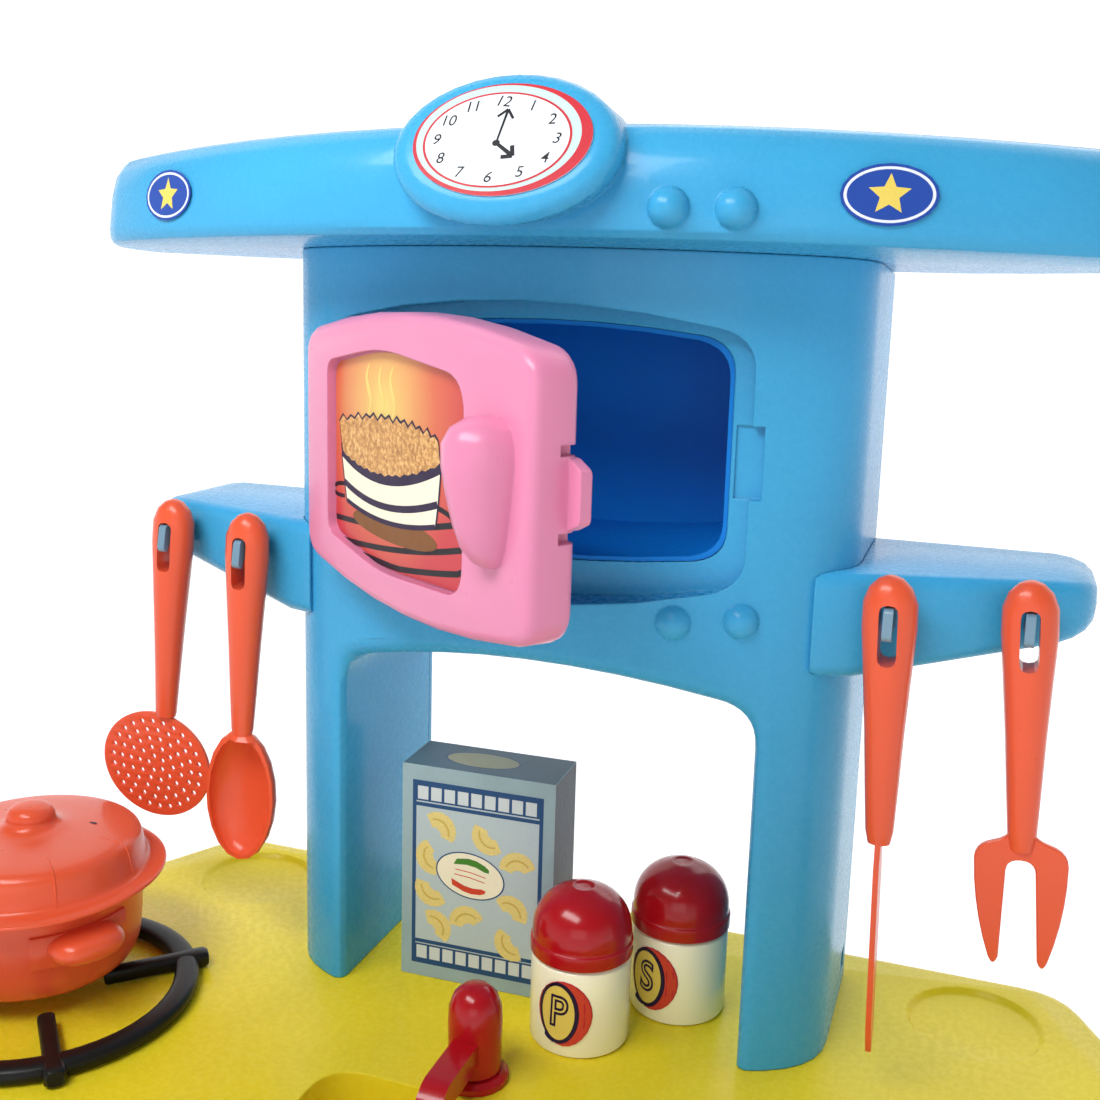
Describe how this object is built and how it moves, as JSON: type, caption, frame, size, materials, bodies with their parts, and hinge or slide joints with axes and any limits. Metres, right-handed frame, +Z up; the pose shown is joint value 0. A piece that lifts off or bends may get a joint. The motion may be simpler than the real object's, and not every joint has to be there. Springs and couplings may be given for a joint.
{
  "type": "toy kitchen",
  "caption": "Toy play kitchen: worktop on a low base, arched tower with a hinged oven door, hood with a clock, side arms with hanging utensils, pan, carton and shakers.",
  "frame": {"origin": "centre of the footprint on the floor", "axes": "+X to the right as seen from the front, +Y to the back, +Z up"},
  "size_m": [0.68, 0.302, 0.8701],
  "materials": {
    "blue_plastic": "glossy sky blue",
    "deep_blue_plastic": "satin deep blue",
    "peg_plastic": "satin grey blue",
    "steel": "plated",
    "clock_print": "printed film with numbers and hands",
    "badge_print": "printed film, plain star",
    "yellow_plastic": "glossy lime yellow",
    "black_plastic": "glossy black",
    "red_plastic": "glossy red",
    "foot_plastic": "soft dark plastic",
    "pink_plastic": "glossy pink",
    "door_print": "printed film, pie on a rack",
    "orange_plastic": "satin coral orange",
    "carton_board": "printed board",
    "cream_plastic": "glossy cream",
    "shaker_print": "printed film with one letter"
  },
  "bodies": {
    "kitchen": {"tower_front": "blue_plastic", "tower_back": "blue_plastic", "oven_liner": "deep_blue_plastic", "back_screw_1": "steel", "back_screw_2": "steel", "back_screw_3": "steel", "back_screw_4": "steel", "back_screw_5": "steel", "back_screw_6": "steel", "hood": "blue_plastic", "clock_label": "clock_print", "badge_left": "badge_print", "badge_right": "badge_print", "arm_left": "blue_plastic", "arm_right": "blue_plastic", "peg_outer_left": "peg_plastic", "peg_inner_left": "peg_plastic", "peg_inner_right": "peg_plastic", "peg_outer_right": "peg_plastic", "worktop": "yellow_plastic", "pan_support": "black_plastic", "tap_collar": "red_plastic", "base_side_left": "blue_plastic", "foot_left_front": "foot_plastic", "foot_left_back": "foot_plastic", "base_side_right": "blue_plastic", "foot_right_front": "foot_plastic", "foot_right_back": "foot_plastic", "base_back": "blue_plastic", "base_shelf": "yellow_plastic"},
    "oven_door": {"oven_door": "pink_plastic", "door_picture": "door_print"},
    "tap": {"tap": "red_plastic"},
    "skimmer": {"skimmer": "orange_plastic"},
    "spoon": {"spoon": "orange_plastic"},
    "knife": {"knife": "orange_plastic"},
    "fork": {"fork": "orange_plastic"},
    "pan": {"pan": "orange_plastic"},
    "pan_lid": {"pan_lid": "orange_plastic"},
    "food_carton": {"food_carton": "carton_board"},
    "pepper": {"pepper_body": "cream_plastic", "pepper_label": "shaker_print"},
    "pepper_cap": {"pepper_cap": "red_plastic"},
    "salt": {"salt_body": "cream_plastic", "salt_label": "shaker_print"},
    "salt_cap": {"salt_cap": "red_plastic"}
  },
  "joints": [
    {"name": "oven_door_hinge", "type": "hinge", "parent": "kitchen", "child": "oven_door", "pos_m": [-0.11, -0.0015, 0.7025], "axis": [0, 0, -1], "range_deg": [-37, 50]},
    {"name": "tap_turn", "type": "hinge", "parent": "kitchen", "child": "tap", "pos_m": [-0.008, -0.046, 0.42], "axis": [0, 0, 1], "range_deg": [-60, 60]},
    {"name": "skimmer_off", "type": "slide", "parent": "kitchen", "child": "skimmer", "axis": [0, -0.8836, 0.4683], "range_m": [0, 0.0255]},
    {"name": "spoon_off", "type": "slide", "parent": "kitchen", "child": "spoon", "axis": [0, -0.8836, 0.4683], "range_m": [0, 0.0255]},
    {"name": "knife_off", "type": "slide", "parent": "kitchen", "child": "knife", "axis": [0, -0.8836, 0.4683], "range_m": [0, 0.0255]},
    {"name": "fork_off", "type": "slide", "parent": "kitchen", "child": "fork", "axis": [0, -0.8836, 0.4683], "range_m": [0, 0.0255]},
    {"name": "pan_lift", "type": "slide", "parent": "kitchen", "child": "pan", "axis": [0, -0.4472, 0.8944], "range_m": [0, 0.12]},
    {"name": "pan_lid_lift", "type": "slide", "parent": "pan", "child": "pan_lid", "axis": [0, 0, 1], "range_m": [0, 0.06]},
    {"name": "food_carton_lift", "type": "slide", "parent": "kitchen", "child": "food_carton", "axis": [0, 0, 1], "range_m": [0, 0.045]},
    {"name": "pepper_lift", "type": "slide", "parent": "kitchen", "child": "pepper", "axis": [0, 0, 1], "range_m": [0, 0.05]},
    {"name": "pepper_cap_off", "type": "slide", "parent": "pepper", "child": "pepper_cap", "axis": [0, 0, 1], "range_m": [0, 0.025]},
    {"name": "salt_lift", "type": "slide", "parent": "kitchen", "child": "salt", "axis": [0, 0, 1], "range_m": [0, 0.05]},
    {"name": "salt_cap_off", "type": "slide", "parent": "salt", "child": "salt_cap", "axis": [0, 0, 1], "range_m": [0, 0.025]}
  ]
}
